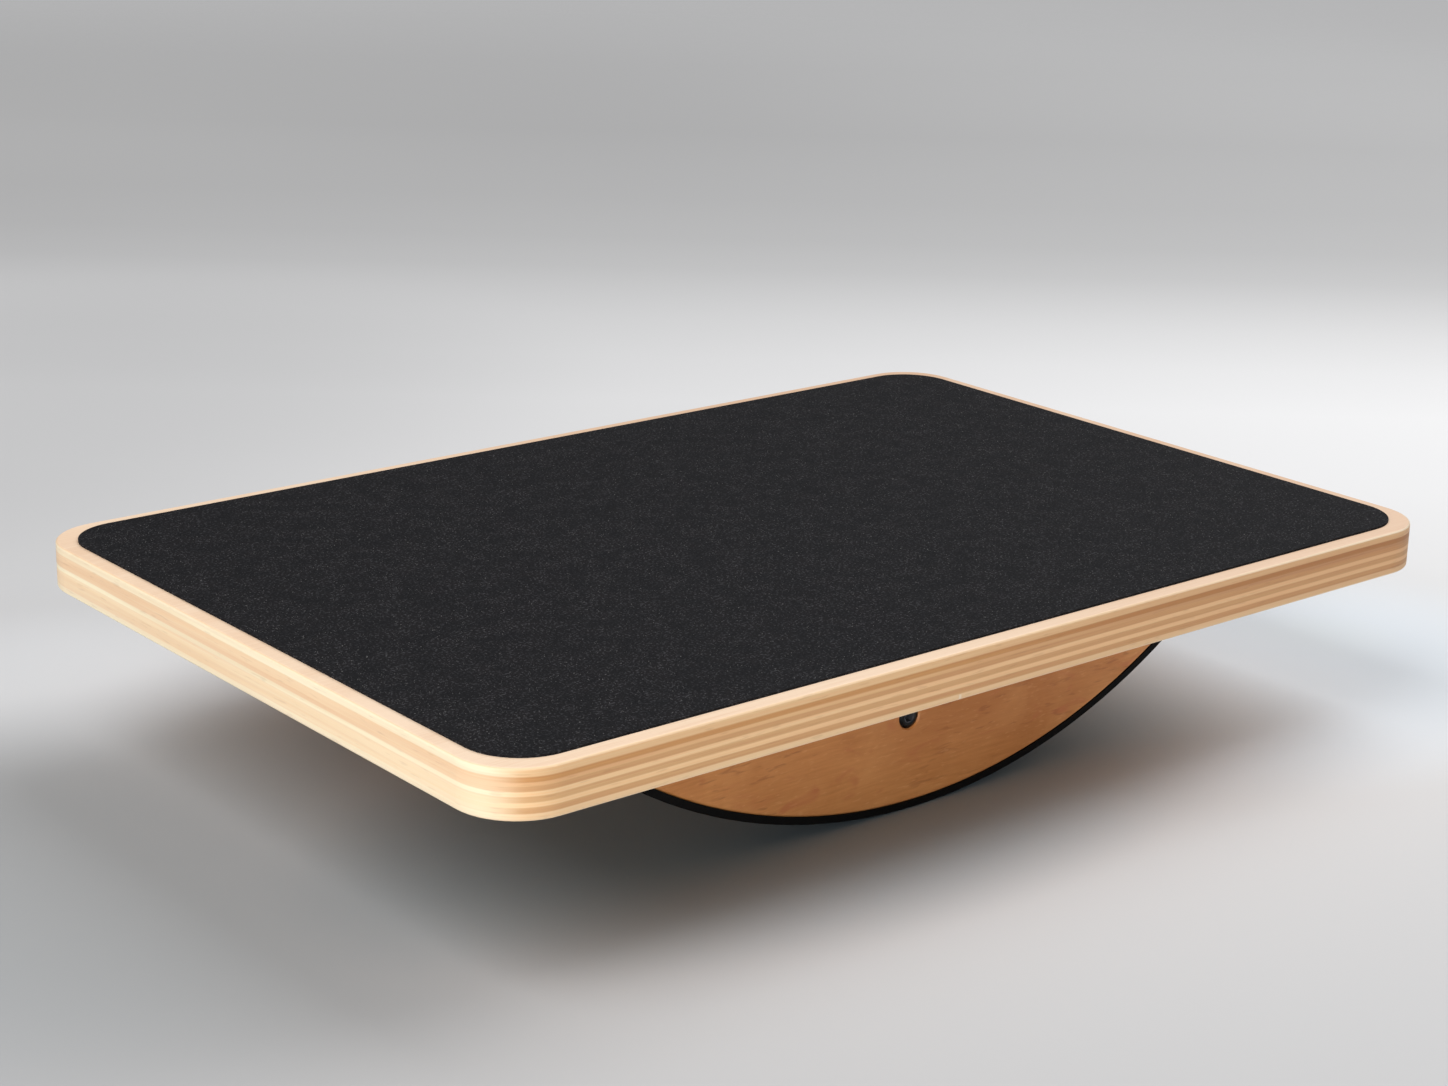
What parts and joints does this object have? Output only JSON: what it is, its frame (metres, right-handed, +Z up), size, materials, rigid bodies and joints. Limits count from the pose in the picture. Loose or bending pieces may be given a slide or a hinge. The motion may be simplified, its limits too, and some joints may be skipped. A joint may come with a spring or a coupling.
{
  "type": "balance board",
  "caption": "Rounded plywood deck with a dark grip sheet on curved wooden rockers with rubber treads, for standing balance exercise that tips from side to side.",
  "frame": {"origin": "on the floor, under the middle of the level deck", "axes": "+X along the deck's long side, +Y across the deck, +Z up"},
  "size_m": [0.45, 0.3, 0.0833],
  "materials": {
    "plywood": "satin lacquer over pale veneers, ply lines on the rim",
    "grip": "matte, fine grit",
    "rocker_wood": "satin lacquer, fine straight grain",
    "tread_rubber": "smooth matte",
    "coated_tube": "black powder coat",
    "plain_steel": "turned",
    "black_steel": "black oxide",
    "zinc_steel": "zinc plated",
    "dowel_wood": "bare beech"
  },
  "bodies": {
    "root": {"deck_panel": "plywood", "grip_sheet": "grip", "front_rocker": "rocker_wood", "rear_rocker": "rocker_wood", "front_tread": "tread_rubber", "rear_tread": "tread_rubber", "tie_bar": "coated_tube", "front_bar_insert": "plain_steel", "rear_bar_insert": "plain_steel", "front_tie_bolt": "black_steel", "rear_tie_bolt": "black_steel", "front_deck_screws": "zinc_steel", "rear_deck_screws": "zinc_steel", "front_dowels": "dowel_wood", "rear_dowels": "dowel_wood"}
  },
  "joints": []
}
